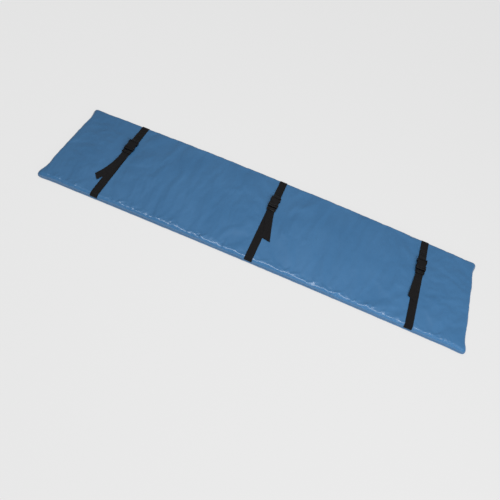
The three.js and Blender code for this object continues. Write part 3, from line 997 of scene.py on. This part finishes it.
def make_laced_webbing(n):
    """Webbing laced round the plug's middle bar, which goes on as the loose tail."""
    root = plug_places(n)["end"] - 1.0 * MM
    lean, reach = tail_facts(n)
    laced, tail = laced_profile(n, root), tail_profile(n, root, lean, reach)
    line, along = resampled(np.concatenate([np.array(laced), tail]), 2.0 * MM)
    line = smoothed(line, 1)
    past = np.clip((root - line[:, 0]) / reach, 0, 1)
    sway = lean * past ** TAIL_CURL[n]
    spine = np.stack([strap_x(n) + sway, line[:, 0], line[:, 1]], 1)
    tangent = directions(spine)
    flat = np.array([1.0, 0, 0]) - tangent * tangent[:, :1]
    across = flat / np.linalg.norm(flat, axis=1, keepdims=True)
    up = np.cross(tangent, across)
    piece = band(f"webbing_{n}_laced", spine, across, up, along, slant=TAIL_SLANT)
    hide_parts(f"strap_{n}_bar_loop", f"strap_{n}_tail")
    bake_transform(piece)


# ---- Buckles ----

def finish_buckles():
    """The buckles' own solids, with their facets smoothed and a moulded finish."""
    for name, piece in frame["nodes"].items():
        if not name.startswith("buckle"):
            continue
        piece.data.materials.clear()
        piece.data.materials.append(PLASTIC)
        piece.data.polygons.foreach_set("use_smooth", [True] * len(piece.data.polygons))
        weld = piece.modifiers.new("joined_facets", "WELD")
        weld.merge_threshold = 0.005 * MM
        split = piece.modifiers.new("sharp_edges", "EDGE_SPLIT")
        split.split_angle = math.radians(32)


# ---- Stage, light and camera ----

FLOOR_HALF = 12.0
ROOM_LIGHT = 0.22
ROOM_PALE = 0.80
SOFTBOX_POWER = 25
SIDE_FILL_POWER = 54
# The camera's turn round the pad, its height and its roll, in degrees, and its distance and aim.
CAMERA_TURN, CAMERA_HEIGHT, CAMERA_ROLL = 5.81, 52.45, 18.08
CAMERA_DISTANCE = 1.618
CAMERA_AIM = (-0.003, -0.116, 0)
CAMERA_LENS = 38.16


def make_floor():
    size = FLOOR_HALF
    corners = [(-size, -size, 0), (size, -size, 0), (size, size, 0), (-size, size, 0)]
    floor = mesh_object("floor", corners, [(0, 1, 2, 3)], floor_material())


def area_light(name, place, aim, size, power):
    """A rectangular lamp at a place, aimed at a point."""
    light = bpy.data.lights.new(name, "AREA")
    light.shape = "RECTANGLE"
    light.size, light.size_y = size
    light.energy = power
    lamp = bpy.data.objects.new(name, light)
    lamp.location = place
    lamp.rotation_euler = (Vector(aim) - Vector(place)).to_track_quat("-Z", "Y").to_euler()
    bpy.context.scene.collection.objects.link(lamp)
    return lamp


def make_room():
    """An even pale room: dim as a light, and as pale as the floor where it shows behind it."""
    world = bpy.data.worlds.new("room")
    bpy.context.scene.world = world
    world.use_nodes = True
    world.node_tree.nodes.clear()
    nodes = Nodes(world.node_tree)
    seen = nodes.add("ShaderNodeLightPath").outputs["Is Camera Ray"]
    dim = nodes.add("ShaderNodeBackground")
    dim.inputs["Strength"].default_value = ROOM_LIGHT
    pale = nodes.add("ShaderNodeBackground")
    pale.inputs["Strength"].default_value = ROOM_PALE
    for background in (dim, pale):
        background.inputs["Color"].default_value = (1, 1, 1, 1)
    either = nodes.add("ShaderNodeMixShader")
    nodes.join(seen, either.inputs["Fac"])
    nodes.join(dim.outputs["Background"], either.inputs[1])
    nodes.join(pale.outputs["Background"], either.inputs[2])
    output = nodes.add("ShaderNodeOutputWorld")
    nodes.join(either.outputs["Shader"], output.inputs["Surface"])


def make_light():
    """A long softbox over the pad, and a fill from the front right that gives no highlight."""
    make_room()
    area_light("softbox", (0.15, -0.22, 1.8), (0.15, -0.2, 0), (1.8, 0.6), SOFTBOX_POWER)
    side_fill = area_light("side_fill", (1.2, -1.8, 1.3), (0.2, -0.1, 0), (1.8, 1.4),
                           SIDE_FILL_POWER)
    side_fill.visible_glossy = False
    side_fill.data.specular_factor = 0


def make_camera():
    """A camera above the pad's -Y side, turned about its own axis so that the pad slopes down."""
    turn, height, roll = (math.radians(a) for a in (CAMERA_TURN, CAMERA_HEIGHT, CAMERA_ROLL))
    back = Vector((math.sin(turn) * math.cos(height),
                   -math.cos(turn) * math.cos(height), math.sin(height)))
    right = Vector((0, 0, 1)).cross(back).normalized()
    up = back.cross(right)
    turned_right = right * math.cos(roll) + up * math.sin(roll)
    turned_up = up * math.cos(roll) - right * math.sin(roll)
    camera = bpy.data.cameras.new("camera")
    camera.sensor_width = 36
    camera.lens = CAMERA_LENS
    place = Vector(CAMERA_AIM) + back * CAMERA_DISTANCE
    facing = Matrix((turned_right, turned_up, back)).transposed().to_4x4()
    holder = bpy.data.objects.new("camera", camera)
    holder.matrix_world = Matrix.Translation(place) @ facing
    bpy.context.scene.collection.objects.link(holder)
    bpy.context.scene.camera = holder


# ---- Assembly ----

make_camera()
make_light()
make_floor()
make_pad()
for number in STRAPS:
    make_fixed_webbing(number)
    make_adjustable_webbing(number)
    make_laced_webbing(number)
finish_buckles()

bpy.context.scene.view_settings.view_transform = "Standard"
